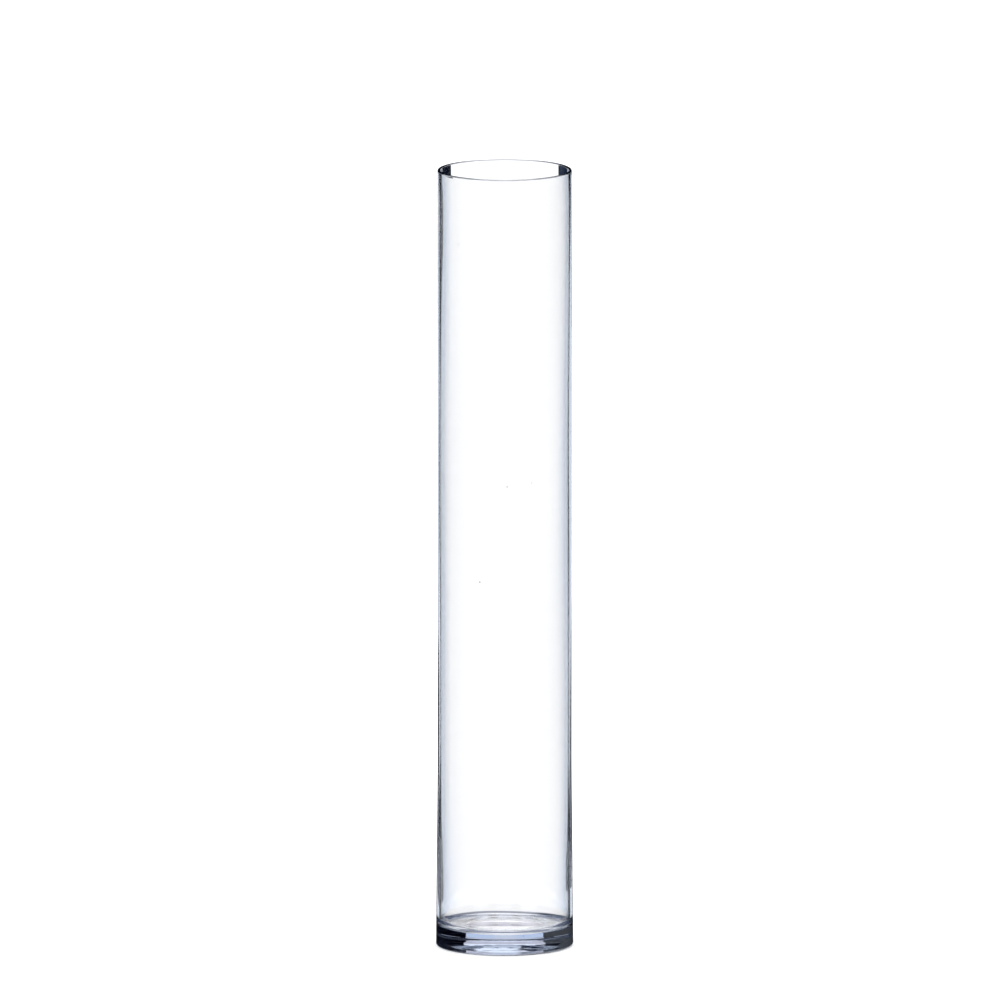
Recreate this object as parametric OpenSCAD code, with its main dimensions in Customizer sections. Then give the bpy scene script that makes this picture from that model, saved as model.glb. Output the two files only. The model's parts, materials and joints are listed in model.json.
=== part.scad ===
// Tall glass cylinder vase: one piece of clear glass, open at the top, with a thick solid base.
// The origin is on the axis at the level of the foot, and +Z points up out of the mouth.
// The whole vase is one turned outline. It runs from the middle of the underside, out over the
// foot and the heel, up the outside, over the rim, down the inside and back across the floor.

/* [Body] */
// Height from the foot to the top of the rim
vase_h = 508; // [150:1:800]
// Outside diameter of the straight part of the wall
body_d = 86.8; // [80:0.1:200]
// Thickness of the wall
wall_t = 2; // [1.6:0.1:5]

/* [Base] */
// Thickness of the solid glass between the floor and the level of the foot
floor_t = 12.5; // [8:0.5:25]
// How far the heel stands out beyond the straight wall, where the soft glass spread
heel_swell = 1.05; // [0:0.05:3]
// Height above the foot at which the swelling has died out
swell_h = 130; // [40:1:140]
// Radius of the heel, the rounded lower edge
heel_r = 1.2; // [0.4:0.2:6]
// Radius of the corner where the floor turns up into the wall
corner_r = 6.5; // [3:0.5:12]
// Width of the flat ring that the vase stands on
foot_w = 16; // [4:0.5:20]
// Depth of the shallow hollow under the base
kick_up = 3; // [0.5:0.1:5]

/* [Rim] */
// Radius of the two fire-polished edges of the rim, which leaves a flat between them
rim_round = 0.9; // [0.3:0.1:1.5]

/* [Hidden] */
body_r = body_d / 2;
bore_r = body_r - wall_t;
// The two rounded edges take at most nine tenths of the wall
rim_r = min(rim_round, 0.45 * wall_t);
heel_out_r = body_r + heel_swell;
foot_out_r = heel_out_r - heel_r;
foot_in_r = foot_out_r - foot_w;
// Radius of the dome that the hollow under the base is a cap of
dome_r = (foot_in_r * foot_in_r + kick_up * kick_up) / (2 * kick_up);
// Steps in each small round, in the dome and in the swelling
round_steps = 8;
dome_steps = 12;
swell_steps = 16;

// Points along an arc about [x, z], from angle a to angle b
function arc(x, z, r, a, b, steps) =
    [for (i = [0:steps]) let (t = a + (b - a) * i / steps) [x + r * cos(t), z + r * sin(t)]];

// Falls from 1 to 0 as t goes from 0 to 1, level at both ends
function ease(t) = 1 - t * t * (3 - 2 * t);

underside = arc(0, kick_up - dome_r, dome_r, 90, 90 - asin(foot_in_r / dome_r), dome_steps);
heel = arc(foot_out_r, heel_r, heel_r, -90, 0, round_steps);
swelling = [for (i = [1:swell_steps]) let (t = i / swell_steps)
    [body_r + heel_swell * ease(t), heel_r + (swell_h - heel_r) * t]];
rim_outside = arc(body_r - rim_r, vase_h - rim_r, rim_r, 0, 90, round_steps);
rim_inside = arc(bore_r + rim_r, vase_h - rim_r, rim_r, 90, 180, round_steps);
inside_corner = arc(bore_r - corner_r, floor_t + corner_r, corner_r, 0, -90, round_steps);
floor_middle = [[0, floor_t]];

module glass_body() {
    color([0.86, 0.92, 0.96, 0.35])
        rotate_extrude($fn = 128)
            polygon(concat(underside, heel, swelling, rim_outside, rim_inside,
                           inside_corner, floor_middle));
}

glass_body();
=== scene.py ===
"""Tall glass cylinder vase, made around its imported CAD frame.

The glass is one closed mesh with its gas seeds hollowed out. The studio is a pale floor, a
surround that differs by the kind of ray, and dark flags that only bent rays can see.
"""

import json
import math
import random

import bmesh
import bpy
from bpy.props import FloatProperty, FloatVectorProperty, IntProperty, PointerProperty
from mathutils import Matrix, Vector


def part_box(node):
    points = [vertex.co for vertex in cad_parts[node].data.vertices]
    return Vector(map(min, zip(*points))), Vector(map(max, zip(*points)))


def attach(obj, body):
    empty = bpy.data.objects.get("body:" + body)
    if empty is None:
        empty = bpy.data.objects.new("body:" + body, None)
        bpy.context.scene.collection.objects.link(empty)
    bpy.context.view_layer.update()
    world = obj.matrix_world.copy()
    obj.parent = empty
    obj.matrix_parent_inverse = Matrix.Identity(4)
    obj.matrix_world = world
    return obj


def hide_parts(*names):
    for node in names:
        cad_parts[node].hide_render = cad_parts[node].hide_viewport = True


bl_info = {
    "name": "Glass Cylinder Vase",
    "version": (1, 0, 0),
    "blender": (4, 5, 0),
    "location": "3D View > Sidebar > Vase",
    "description": "Makes a tall clear glass cylinder vase and a plain studio around it",
    "category": "Add Mesh",
}

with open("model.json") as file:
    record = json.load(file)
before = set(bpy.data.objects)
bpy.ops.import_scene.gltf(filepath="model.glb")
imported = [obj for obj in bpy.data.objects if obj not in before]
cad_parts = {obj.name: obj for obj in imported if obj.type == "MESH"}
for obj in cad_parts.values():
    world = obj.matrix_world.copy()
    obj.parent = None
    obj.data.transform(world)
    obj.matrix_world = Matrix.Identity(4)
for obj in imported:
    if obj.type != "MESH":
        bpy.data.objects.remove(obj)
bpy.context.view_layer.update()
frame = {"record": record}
NODE = "glass_body"
NODE_LOW, NODE_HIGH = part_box(NODE)
INSIDE = next(m for m in frame["record"]["mounts"] if m["name"] == "inside")
BORE_R = INSIDE["dims"]["r_mm"] / 1000
HEIGHT = NODE_HIGH.z - NODE_LOW.z
HEEL_REACH = min(NODE_HIGH.x, NODE_HIGH.y, -NODE_LOW.x, -NODE_LOW.y)

MM = 0.001
TURN = 2 * math.pi
LIFT_TOP = 8 * MM  # the heel's unevenness has died out at this height

# steps of the glass mesh
AROUND = 280
WALL_STEPS = 70
FLOOR_STEPS = 112
DOME_STEPS = 28
HEEL_STEPS = 14
RIM_STEPS = 10
CORNER_STEPS = 16
FOOT_SHARES = (0.03, 0.10, 0.3, 0.5, 0.7, 0.9, 0.98)

# colours of the studio, as linear light
NAVY = (0.004, 0.006, 0.015)
INK = (0.010, 0.012, 0.03)
FLAG_RIGHT = (0.001, 0.001, 0.003)
FLAG_LEFT = (0.10, 0.10, 0.097)
PANEL = (1.15, 1.18, 1.25)
SIDE_STEEP = (0.36, 0.39, 0.47)
SCREEN_MIDDLE = (1.25, 1.25, 1.25)
SCREEN_EDGE = (1.05, 1.14, 1.28)
SCREEN_RAISED = (1.13, 1.04, 1.04)
HORIZON = (0.004, 0.005, 0.012)
CEILING = (0.35, 0.37, 0.43)
WHITE_ON_FLOOR = (2.4, 2.4, 2.4)
WHITE_TO_EYE = (1.3, 1.3, 1.3)

SENSOR_WIDTH = 36  # millimetres
MAX_BOUNCES = 32

# where the studio's cards stand
CARD_DISTANCE = 0.9
CARD_STEPS = 12
FOOT_EDGE = -0.1405  # just above where the level rays through the base land


class VaseSizes(bpy.types.PropertyGroup):
    """Sizes of the vase. The driving ones come from the CAD frame."""

    height: FloatProperty(
        name="Height", description="Foot to rim", default=HEIGHT, min=0.1, unit="LENGTH")
    heel_reach: FloatProperty(
        name="Heel reach", description="Radius of the widest part", default=HEEL_REACH, unit="LENGTH")
    bore_r: FloatProperty(
        name="Bore radius", description="Radius of the inside wall", default=BORE_R, unit="LENGTH")
    wall: FloatProperty(
        name="Wall", description="Thickness of the wall", default=2 * MM, unit="LENGTH")
    floor: FloatProperty(
        name="Floor", description="Glass between the floor and the foot", default=12.5 * MM, unit="LENGTH")
    heel_r: FloatProperty(
        name="Heel round", description="Radius of the heel", default=1.2 * MM, unit="LENGTH")
    corner_r: FloatProperty(
        name="Corner round", description="Radius where floor meets wall", default=6.5 * MM, unit="LENGTH")
    foot_w: FloatProperty(
        name="Foot ring", description="Width of the ring it stands on", default=16 * MM, unit="LENGTH")
    kick_up: FloatProperty(
        name="Kick-up", description="Depth of the hollow under the base", default=3 * MM, unit="LENGTH")
    rim_r: FloatProperty(
        name="Rim round", description="Radius of the rim's edges", default=0.9 * MM, unit="LENGTH")
    swell_h: FloatProperty(
        name="Swelling", description="Height where the swelling ends", default=130 * MM, unit="LENGTH")
    chill: FloatProperty(
        name="Chill rings", description="Height of the rings on the floor", default=0.19 * MM, unit="LENGTH")
    heel_lift: FloatProperty(
        name="Heel lift", description="How far one side of the heel is rounded up",
        default=0.55 * MM, unit="LENGTH")
    seeds: IntProperty(
        name="Seeds", description="Number of tiny gas bubbles in the glass", default=15, min=0)


class GlassLook(bpy.types.PropertyGroup):
    """Colour and finish of the glass."""

    tint: FloatVectorProperty(
        name="Tint", description="Colour that thick glass takes", subtype="COLOR",
        size=3, min=0, max=1, default=(0.45, 0.54, 0.70))
    density: FloatProperty(
        name="Density", description="Absorption per metre", default=16.0, min=0)
    ior: FloatProperty(
        name="Index", description="Refractive index of soda-lime glass", default=1.52)
    skin: FloatProperty(
        name="Skin", description="Roughness of the fire-polished skin", default=0.006, min=0)
    foot_wear: FloatProperty(
        name="Foot wear", description="Roughness of the scuffs under the foot", default=0.14, min=0)
    ripple: FloatProperty(
        name="Ripple", description="Height of the draw lines and ripples",
        default=0.02 * MM, unit="LENGTH", precision=6)


class StudioLook(bpy.types.PropertyGroup):
    """Camera: how far it looks down, the width of its view, its lens and its aim."""

    elevation: FloatProperty(
        name="Camera elevation", description="How far the camera looks down",
        default=math.radians(9.6), subtype="ANGLE")
    frame_width: FloatProperty(
        name="Frame width", description="Width of the view at the vase", default=0.6465, unit="LENGTH")
    lens: FloatProperty(
        name="Lens", description="Focal length in millimetres", default=1500)
    aim_up: FloatProperty(
        name="Aim", description="How far above the vase's middle the camera points",
        default=0.0375, unit="LENGTH")
    aim_side: FloatProperty(
        name="Aim side", description="How far left of the axis the camera points",
        default=0.003, unit="LENGTH")


# ---------------------------------------------------------------- glass body


def arc(x, z, r, start, end, steps):
    """Points of an arc about (x, z), angles in degrees."""
    turns = [math.radians(start + (end - start) * i / steps) for i in range(steps + 1)]
    return [(x + r * math.cos(t), z + r * math.sin(t)) for t in turns]


def ease(t):
    """Falls from 1 to 0 as t goes from 0 to 1, level at both ends."""
    t = min(max(t, 0.0), 1.0)
    return 1 - t * t * (3 - 2 * t)


def climb(start, end, steps):
    """Heights between two ends, with two close to each end so that the rounds keep their shading."""
    close = 0.25 * MM if end > start else -0.25 * MM
    even = [start + (end - start) * i / steps for i in range(1, steps)]
    return [start + close, start + 4 * close, *even, end - 4 * close, end - close]


def outline(s):
    """The turned outline as (part, r, z): underside, heel, outside, rim, inside, corner, floor."""
    body_r = s.bore_r + s.wall
    swell = s.heel_reach - body_r
    foot_out = s.heel_reach - s.heel_r
    foot_in = foot_out - s.foot_w
    points = []

    def add(part, stretch):
        points.extend((part, r, z) for r, z in stretch)

    dome = (foot_in**2 + s.kick_up**2) / (2 * s.kick_up)
    half = math.degrees(math.asin(foot_in / dome))
    add("under", arc(0, s.kick_up - dome, dome, 90, 90 - half, DOME_STEPS))
    add("foot", [(foot_in + s.foot_w * t, 0) for t in FOOT_SHARES])
    add("heel", arc(foot_out, s.heel_r, s.heel_r, -90, 0, HEEL_STEPS))
    top = s.height - s.rim_r
    for z in climb(s.heel_r, top, WALL_STEPS):
        rise = (z - s.heel_r) / (s.swell_h - s.heel_r)
        points.append(("outside", body_r + swell * ease(rise), z))
    add("rim", arc(body_r - s.rim_r, top, s.rim_r, 0, 90, RIM_STEPS))
    add("rim", arc(s.bore_r + s.rim_r, top, s.rim_r, 90, 180, RIM_STEPS))
    low = s.floor + s.corner_r
    points.extend(("inside", s.bore_r, z) for z in climb(top, low, WALL_STEPS))
    add("corner", arc(s.bore_r - s.corner_r, low, s.corner_r, 0, -90, CORNER_STEPS))
    flat = s.bore_r - s.corner_r
    add("floor", [(flat * (1 - i / FLOOR_STEPS), s.floor) for i in range(1, FLOOR_STEPS + 1)])
    return points


def uneven(part, r, z, a, s):
    """Small unevenness of the blown glass at angle a: (change of r, change of z)."""
    dr = dz = 0.0
    foot_out = s.heel_reach - s.heel_r
    if part == "outside":
        dr = -0.03 * MM * (1 + math.sin(2 * a + 0.7 + 9 * z)) * (1 - z / s.height * 0.5)
    elif part == "inside":
        dr = 0.06 * MM * math.sin(3 * a + 1.3 + 14 * z) + 0.04 * MM * math.sin(5 * a - 23 * z)
        dr *= min(1, (s.height - z) / (20 * MM), (z - s.floor - s.corner_r) / (20 * MM))
    elif part == "floor":
        share = r / (s.bore_r - s.corner_r)
        fade = math.exp(-((share - 0.86) / 0.13) ** 2)
        wave = math.sin(TURN * r / (2.6 * MM) + 1.2 * math.sin(a + 0.5) + 0.5 * math.sin(3 * a))
        dz = s.chill * fade * wave
        dz += 0.25 * s.chill * math.sin(7 * a + 400 * r) * share * (1 - share)
    elif part == "under":
        share = r / (foot_out - s.foot_w)
        dz = 0.05 * MM * share * (1 - share) * math.sin(TURN * r / (4 * MM) + 2 * math.sin(a))
    if part in ("foot", "heel", "outside") and z < LIFT_TOP:
        edge = min(max((r - foot_out) / (4 * MM) + 1, 0), 1)
        dz += s.heel_lift * max(0, math.cos(a + 0.7)) ** 2 * edge * (1 - z / LIFT_TOP)
    return dr, dz


def seed_places(s):
    """Centres and radii of the gas seeds: (x, y, z, radius, stretch)."""
    rng = random.Random(7)
    middle = s.bore_r + s.wall / 2
    # the largest one sits in the front wall, left of the middle and about half way up
    a = math.radians(-112)
    yield middle * math.cos(a), middle * math.sin(a), 0.481 * s.height, 0.24 * s.wall, 1.2
    for i in range(s.seeds):
        a = rng.uniform(0, TURN)
        if i % 3:
            r, z = middle, rng.uniform(0.06, 0.96) * s.height
            size, stretch = rng.uniform(0.10, 0.20) * s.wall, rng.uniform(1.3, 2.4)
        else:
            r, z = rng.uniform(0.2, 0.85) * s.bore_r, rng.uniform(0.45, 0.72) * s.floor
            size, stretch = rng.uniform(0.10, 0.28) * MM, 1.0
        yield r * math.cos(a), r * math.sin(a), z, size, stretch


def add_seeds(bm, s):
    """Hollow each gas seed out of the glass: a small closed shell that faces inwards."""
    for x, y, z, size, stretch in seed_places(s):
        made = bmesh.ops.create_icosphere(bm, subdivisions=2, radius=size)
        for v in made["verts"]:
            v.co = Vector((x + v.co.x, y + v.co.y, z + v.co.z * stretch))
        faces = {f for v in made["verts"] for f in v.link_faces}
        bmesh.ops.reverse_faces(bm, faces=list(faces))


def build_glass(s):
    """One closed mesh of the whole vase, with its seeds hollowed out."""
    bm = bmesh.new()
    rings = []
    for part, r, z in outline(s):
        if r < 0.001 * MM:
            rings.append([bm.verts.new((0, 0, z))])
            continue
        ring = []
        for k in range(AROUND):
            a = TURN * k / AROUND
            dr, dz = uneven(part, r, z, a, s)
            ring.append(bm.verts.new(((r + dr) * math.cos(a), (r + dr) * math.sin(a), z + dz)))
        rings.append(ring)
    for low, high in zip(rings, rings[1:]):
        for k in range(AROUND):
            n = (k + 1) % AROUND
            if len(low) == 1:
                bm.faces.new((low[0], high[n], high[k]))
            elif len(high) == 1:
                bm.faces.new((low[k], low[n], high[0]))
            else:
                bm.faces.new((low[k], low[n], high[n], high[k]))
    bmesh.ops.recalc_face_normals(bm, faces=bm.faces)
    add_seeds(bm, s)
    mesh = bpy.data.meshes.new("vase_glass")
    bm.to_mesh(mesh)
    bm.free()
    mesh.polygons.foreach_set("use_smooth", [True] * len(mesh.polygons))
    return mesh


def clear_glass(look):
    """Clear soda-lime glass: faint draw lines, a fire-polished skin and a scuffed foot ring."""
    mat = bpy.data.materials.new("clear_glass")
    mat.use_nodes = True
    nt = mat.node_tree
    nt.nodes.clear()
    n = Nodes(nt)
    out = nt.nodes.new("ShaderNodeOutputMaterial")
    glass = nt.nodes.new("ShaderNodeBsdfPrincipled")
    glass.inputs["Base Color"].default_value = (1, 1, 1, 1)
    glass.inputs["IOR"].default_value = look.ior
    glass.inputs["Transmission Weight"].default_value = 1.0
    place = nt.nodes.new("ShaderNodeTexCoord").outputs["Object"]
    height = nt.nodes.new("ShaderNodeSeparateXYZ")
    nt.links.new(place, height.inputs[0])
    on_foot = n.step(height.outputs["Z"], 0.1 * MM, 0.5 * MM, 1, 0)

    # worn fine scratches and grey scuffs, only where the glass stands
    scuffs = n.noise(place, 700, (1, 1, 1), detail=6)
    worn = n.math("MULTIPLY", on_foot, n.step(scuffs, 0.40, 0.62))
    fine = n.math("MULTIPLY", n.noise(place, 25, (1, 1, 0.3), detail=2), look.skin)
    rough = n.math("ADD", n.math("MULTIPLY", worn, look.foot_wear), fine)
    nt.links.new(rough, glass.inputs["Roughness"])

    # draw lines: long soft ridges up the wall, with a slow ripple under them
    lines = n.noise(place, 90, (1, 1, 0.035), detail=2)
    ripple = n.noise(place, 16, (1, 1, 0.6), detail=1)
    relief = n.math("ADD", n.math("MULTIPLY", lines, 0.35), ripple)
    relief = n.math("ADD", relief, n.math("MULTIPLY", worn, 0.3))
    bump = nt.nodes.new("ShaderNodeBump")
    bump.inputs["Strength"].default_value = 1.0
    bump.inputs["Distance"].default_value = look.ripple
    nt.links.new(relief, bump.inputs["Height"])
    nt.links.new(bump.outputs[0], glass.inputs["Normal"])
    nt.links.new(glass.outputs["BSDF"], out.inputs["Surface"])

    depth = nt.nodes.new("ShaderNodeVolumeAbsorption")
    depth.inputs["Color"].default_value = (*look.tint, 1)
    depth.inputs["Density"].default_value = look.density
    nt.links.new(depth.outputs["Volume"], out.inputs["Volume"])
    return mat


class VASE_OT_glass(bpy.types.Operator):
    """Make the vase's glass"""

    bl_idname = "vase.glass"
    bl_label = "Glass body"

    def execute(self, context):
        s = context.scene.vase_sizes
        mesh = build_glass(s)
        if not mesh.polygons:
            raise RuntimeError("the glass has no faces")
        piece = bpy.data.objects.new("vase_glass", mesh)
        context.scene.collection.objects.link(piece)
        piece.data.materials.append(clear_glass(context.scene.vase_glass_look))
        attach(piece, "root")
        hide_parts(NODE)
        return {"FINISHED"}


# ---------------------------------------------------------------- studio


class Nodes:
    """Small helper that adds and links math nodes in one tree."""

    def __init__(self, tree):
        self.tree = tree

    def math(self, kind, *values):
        """One math node. Each value is a number or an output socket."""
        node = self.tree.nodes.new("ShaderNodeMath")
        node.operation = kind
        for i, v in enumerate(values):
            if isinstance(v, (int, float)):
                node.inputs[i].default_value = v
            else:
                self.tree.links.new(v, node.inputs[i])
        return node.outputs[0]

    def step(self, value, low, high, start=0.0, end=1.0):
        """Smooth change from start to end as value goes from low to high."""
        node = self.tree.nodes.new("ShaderNodeMapRange")
        node.interpolation_type = "SMOOTHSTEP"
        self.tree.links.new(value, node.inputs["Value"])
        for name, v in (("From Min", low), ("From Max", high), ("To Min", start), ("To Max", end)):
            node.inputs[name].default_value = v
        return node.outputs[0]

    def noise(self, place, scale, stretch, detail):
        """Noise at so many features a metre, stretched along each axis."""
        spread = self.tree.nodes.new("ShaderNodeVectorMath")
        spread.operation = "MULTIPLY"
        spread.inputs[1].default_value = stretch
        self.tree.links.new(place, spread.inputs[0])
        node = self.tree.nodes.new("ShaderNodeTexNoise")
        node.inputs["Scale"].default_value = scale
        node.inputs["Detail"].default_value = detail
        self.tree.links.new(spread.outputs[0], node.inputs["Vector"])
        return node.outputs[0]

    def both(self, a, b):
        """Where two masks overlap."""
        return self.math("MULTIPLY", a, b)

    def either(self, a, b):
        """Where at least one of two masks is."""
        return self.math("MAXIMUM", a, b)

    def mix(self, factor, a, b):
        """Colour a where factor is 0 and colour b where it is 1."""
        node = self.tree.nodes.new("ShaderNodeMix")
        node.data_type = "RGBA"
        self.tree.links.new(factor, node.inputs[0])
        for socket, v in ((node.inputs[6], a), (node.inputs[7], b)):
            if isinstance(v, tuple):
                socket.default_value = (*v, 1)
            else:
                self.tree.links.new(v, socket)
        return node.outputs[2]


def screen_behind(n, turn, off, rise, upward, right):
    """The screen straight behind the vase: whiter in the middle, with dark streaks high and low."""
    deg = math.radians
    cool = n.step(off, deg(2), deg(11))
    level = n.mix(upward, n.mix(cool, SCREEN_MIDDLE, SCREEN_EDGE), SCREEN_RAISED)

    # rays that the rim, the inside corner and the base bend far down or up
    outer = n.step(off, deg(7), deg(11))
    under = n.mix(outer, (0.42, 0.44, 0.50), n.mix(right, INK, (0.30, 0.31, 0.35)))
    streak = n.either(n.step(turn, deg(-11), deg(-7), 1, 0), n.step(turn, deg(19), deg(23)))
    streak = n.both(streak, n.step(rise, deg(34), deg(37)))
    over = n.mix(streak, (1.95, 1.92, 1.85), n.mix(right, INK, (0.20, 0.21, 0.26)))
    colour = n.mix(n.step(rise, deg(14), deg(18)), level, n.mix(upward, under, over))

    # the ends of the screen, nearly straight below and above
    below = n.mix(n.step(rise, deg(74), deg(77)), (1.25, 1.25, 1.3), (0.30, 0.33, 0.40))
    ends = n.mix(upward, below, (0.78, 0.80, 0.86))
    return n.mix(n.step(rise, deg(46), deg(54)), colour, ends)


def sides_around(n, turn, off, rise, upward, right):
    """Bright panels at the other compass points, with dark flags between and beside them."""
    deg = math.radians
    folded = n.math("ABSOLUTE", n.math("WRAP", turn, TURN / 16, -TURN / 16))
    panels = n.step(folded, deg(13), deg(16), 1, 0)

    # a dark band above and below the horizon, open on one side at the back
    band = n.both(n.step(rise, deg(4.5), deg(5.5)), n.step(rise, deg(18), deg(20), 1, 0))
    opening = n.math("ABSOLUTE", n.math("SUBTRACT", turn, deg(135)))
    band = n.both(band, n.step(opening, deg(20), deg(23)))

    # the right side is dark except where rays are level or go well down
    dark_side = n.both(right, n.step(turn, deg(108), deg(114), 1, 0))
    not_level = n.step(rise, deg(3.5), deg(4.2))
    not_down = n.either(upward, n.step(rise, deg(20), deg(22), 1, 0))
    dark_side = n.both(dark_side, n.both(not_level, not_down))

    # both sides of the screen are dark a little way up
    beside = n.both(n.step(off, deg(70), deg(75), 1, 0), n.step(rise, deg(30), deg(33), 1, 0))
    dark = n.either(n.either(band, dark_side), n.both(beside, upward))
    panels = n.both(panels, n.math("SUBTRACT", 1.0, dark))
    colour = n.mix(panels, n.mix(right, FLAG_LEFT, FLAG_RIGHT), PANEL)

    steep = n.both(n.step(rise, deg(36), deg(48)), n.math("SUBTRACT", 1.0, dark_side))
    return n.mix(steep, colour, SIDE_STEEP)


def surround(world):
    """White to the eye and on the floor. What the glass bends or mirrors has its own surround."""
    world.use_nodes = True
    nt = world.node_tree
    nt.nodes.clear()
    n = Nodes(nt)
    deg = math.radians
    coords = nt.nodes.new("ShaderNodeTexCoord")
    split = nt.nodes.new("ShaderNodeSeparateXYZ")
    nt.links.new(coords.outputs["Generated"], split.inputs[0])
    x, y, z = split.outputs
    turn = n.math("ARCTAN2", x, y)  # 0 straight behind the vase, positive towards +X
    off = n.math("ABSOLUTE", turn)
    rise = n.math("ABSOLUTE", n.math("ARCSINE", z))
    upward = n.step(z, -0.02, 0.02)
    right = n.step(turn, -0.05, 0.05)

    on_screen = n.step(off, deg(25.0), deg(25.8), 1, 0)
    where = (n, turn, off, rise, upward, right)
    bent = n.mix(on_screen, sides_around(*where), screen_behind(*where))
    mirrored = n.mix(n.step(rise, deg(18), deg(60)), HORIZON, CEILING)

    path = nt.nodes.new("ShaderNodeLightPath")
    colour = n.mix(path.outputs["Is Transmission Ray"], mirrored, bent)
    colour = n.mix(path.outputs["Is Diffuse Ray"], colour, WHITE_ON_FLOOR)
    colour = n.mix(path.outputs["Is Camera Ray"], colour, WHITE_TO_EYE)
    ground = nt.nodes.new("ShaderNodeBackground")
    nt.links.new(colour, ground.inputs["Color"])
    out = nt.nodes.new("ShaderNodeOutputWorld")
    nt.links.new(ground.outputs[0], out.inputs[0])


def studio_card(name, corners, colour):
    """A card in the studio that only light bent through the glass can see."""
    mesh = bpy.data.meshes.new(name)
    columns = len(corners)
    verts = [low for low, high in corners] + [high for low, high in corners]
    faces = [(i, i + 1, columns + i + 1, columns + i) for i in range(columns - 1)]
    mesh.from_pydata(verts, [], faces)
    mat = bpy.data.materials.new(name)
    mat.use_nodes = True
    nt = mat.node_tree
    nt.nodes.clear()
    glow = nt.nodes.new("ShaderNodeEmission")
    glow.inputs["Color"].default_value = (*colour, 1)
    out = nt.nodes.new("ShaderNodeOutputMaterial")
    nt.links.new(glow.outputs[0], out.inputs["Surface"])
    mat.cycles.emission_sampling = "NONE"
    mesh.materials.append(mat)
    card = bpy.data.objects.new(name, mesh)
    bpy.context.scene.collection.objects.link(card)
    card.visible_camera = False
    card.visible_diffuse = False
    card.visible_glossy = False
    card.visible_shadow = False
    card.visible_volume_scatter = False


def curved_card(name, start, end, low, high, colour):
    """A card bent round the vase's axis, from angle start to end in degrees off straight behind.

    low and high are the heights of its edges, each as a pair: at the start and at the end.
    """
    corners = []
    for i in range(CARD_STEPS + 1):
        t = i / CARD_STEPS
        a = math.radians(start + (end - start) * t)
        x, y = CARD_DISTANCE * math.sin(a), CARD_DISTANCE * math.cos(a)
        z_low, z_high = (edge[0] + (edge[1] - edge[0]) * t for edge in (low, high))
        corners.append(((x, y, z_low), (x, y, z_high)))
    studio_card(name, corners, colour)


def flags_and_cards(s):
    """Dark flags that draw the dark lines down the sides and in the corners of the mouth."""
    foot_edge = (FOOT_EDGE, FOOT_EDGE)
    curved_card("flag_left_low", -33, -16.5, foot_edge, (0.01, -0.11), NAVY)
    curved_card("flag_right_low", 16.5, 33, foot_edge, (-0.12, -0.01), NAVY)
    curved_card("flag_left_high", -40, -16.5, (0.13, 0.31), (0.372, 0.372), NAVY)
    curved_card("flag_right_high", 16.5, 33, (0.40, 0.24), (0.50, 0.50), NAVY)
    # a white card low down keeps the inside corner at the back as pale as the wall above it
    curved_card("card_low_behind", -9, 12, (-0.62, -0.62), (-0.165, -0.165), (1.15, 1.15, 1.15))

    # one small card close behind each corner of the mouth
    near, inner, middle, outer = 0.05, 0.0366, 0.046, 0.065
    low_in, low_out, high = s.height - 0.0131, s.height - 0.0108, s.height - 0.0035
    for name, side, colour in (("mouth_card_left", -1, (0.004, 0.006, 0.016)),
                               ("mouth_card_right", 1, (0.006, 0.018, 0.05))):
        corners = [((side * x, near, low), (side * x, near, high))
                   for x, low in ((inner, low_in), (middle, low_out), (outer, low_out))]
        studio_card(name, corners, colour)


def pale_floor():
    """A plain pale floor. Rays inside the glass pass it by and meet the surround instead."""
    bm = bmesh.new()
    bmesh.ops.create_circle(bm, cap_ends=True, segments=96, radius=6.0)
    mesh = bpy.data.meshes.new("floor")
    bm.to_mesh(mesh)
    bm.free()
    obj = bpy.data.objects.new("floor", mesh)
    bpy.context.scene.collection.objects.link(obj)
    obj.location.z = -0.0002
    mat = bpy.data.materials.new("pale_floor")
    mat.use_nodes = True
    shade = mat.node_tree.nodes["Principled BSDF"]
    shade.inputs["Base Color"].default_value = (0.9, 0.9, 0.9, 1)
    shade.inputs["Roughness"].default_value = 0.9
    mesh.materials.append(mat)
    obj.visible_transmission = False
    obj.visible_glossy = False


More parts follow.
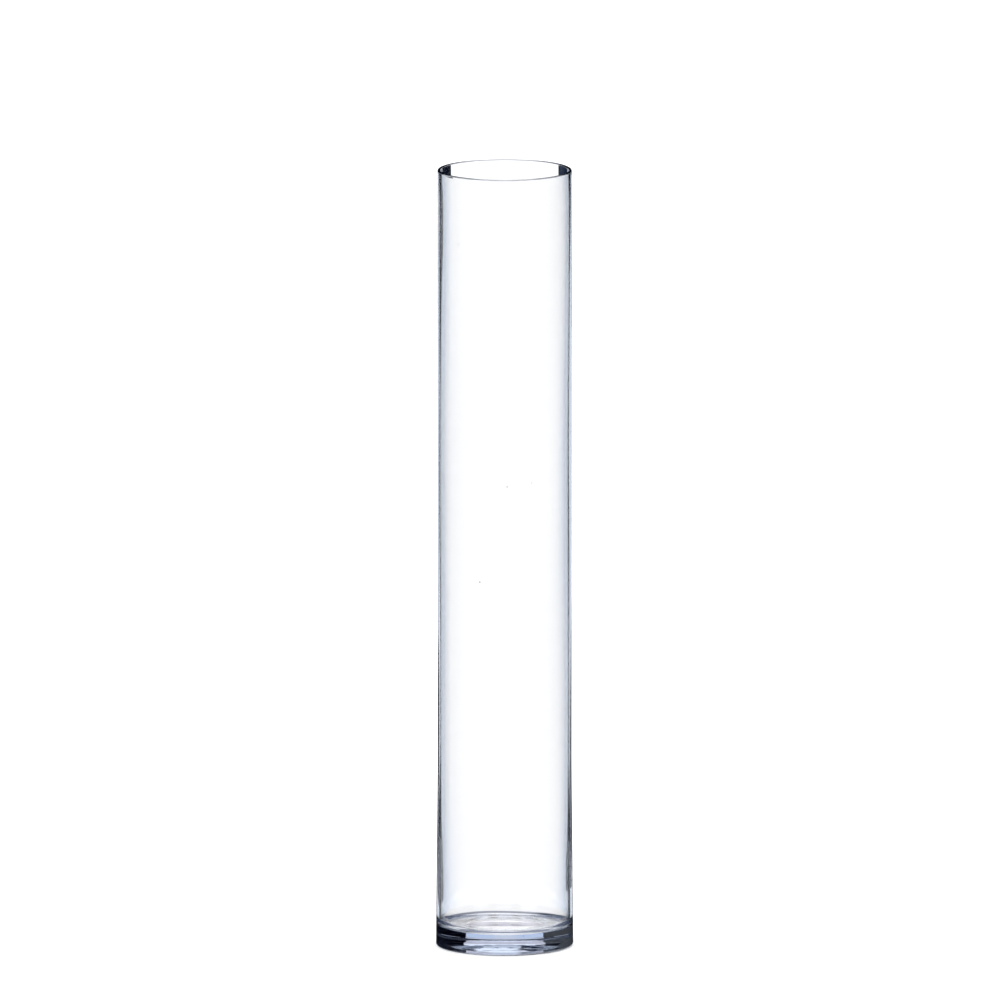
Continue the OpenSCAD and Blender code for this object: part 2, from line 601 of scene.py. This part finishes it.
def place_camera(look, height):
    """A far camera with a long lens, so that the vase's sides stay parallel."""
    cam = bpy.data.objects.new("camera", bpy.data.cameras.new("camera"))
    bpy.context.scene.collection.objects.link(cam)
    cam.data.lens = look.lens
    cam.data.sensor_width = SENSOR_WIDTH
    distance = look.frame_width * look.lens / SENSOR_WIDTH
    back = Vector((0, -math.cos(look.elevation), math.sin(look.elevation)))
    target = Vector((-look.aim_side, 0, height / 2 + look.aim_up))
    cam.location = target + back * distance
    cam.rotation_mode = "QUATERNION"
    cam.rotation_quaternion = (-back).to_track_quat("-Z", "Y")
    cam.data.clip_start = 1.0
    cam.data.clip_end = 100.0
    bpy.context.scene.camera = cam


class VASE_OT_studio(bpy.types.Operator):
    """Make the floor, the surround and the camera"""

    bl_idname = "vase.studio"
    bl_label = "Studio"

    def execute(self, context):
        scene = context.scene
        if scene.world is None:
            scene.world = bpy.data.worlds.new("studio")
        surround(scene.world)
        pale_floor()
        flags_and_cards(scene.vase_sizes)
        place_camera(scene.vase_studio_look, scene.vase_sizes.height)
        scene.view_settings.view_transform = "Standard"
        scene.cycles.max_bounces = MAX_BOUNCES
        scene.cycles.transmission_bounces = MAX_BOUNCES
        scene.cycles.glossy_bounces = MAX_BOUNCES
        return {"FINISHED"}


class VASE_PT_panel(bpy.types.Panel):
    """Lists the makers"""

    bl_idname = "VASE_PT_panel"
    bl_label = "Glass Cylinder Vase"
    bl_space_type = "VIEW_3D"
    bl_region_type = "UI"
    bl_category = "Vase"

    def draw(self, context):
        for maker in MAKERS:
            self.layout.operator(maker.bl_idname)


MAKERS = (VASE_OT_glass, VASE_OT_studio)
CLASSES = (VaseSizes, GlassLook, StudioLook, *MAKERS, VASE_PT_panel)


def register():
    for cls in CLASSES:
        bpy.utils.register_class(cls)
    bpy.types.Scene.vase_sizes = PointerProperty(type=VaseSizes)
    bpy.types.Scene.vase_glass_look = PointerProperty(type=GlassLook)
    bpy.types.Scene.vase_studio_look = PointerProperty(type=StudioLook)


def unregister():
    del bpy.types.Scene.vase_studio_look
    del bpy.types.Scene.vase_glass_look
    del bpy.types.Scene.vase_sizes
    for cls in reversed(CLASSES):
        bpy.utils.unregister_class(cls)


def main():
    register()
    bpy.ops.vase.glass()
    bpy.ops.vase.studio()


if __name__ == "__main__":
    main()
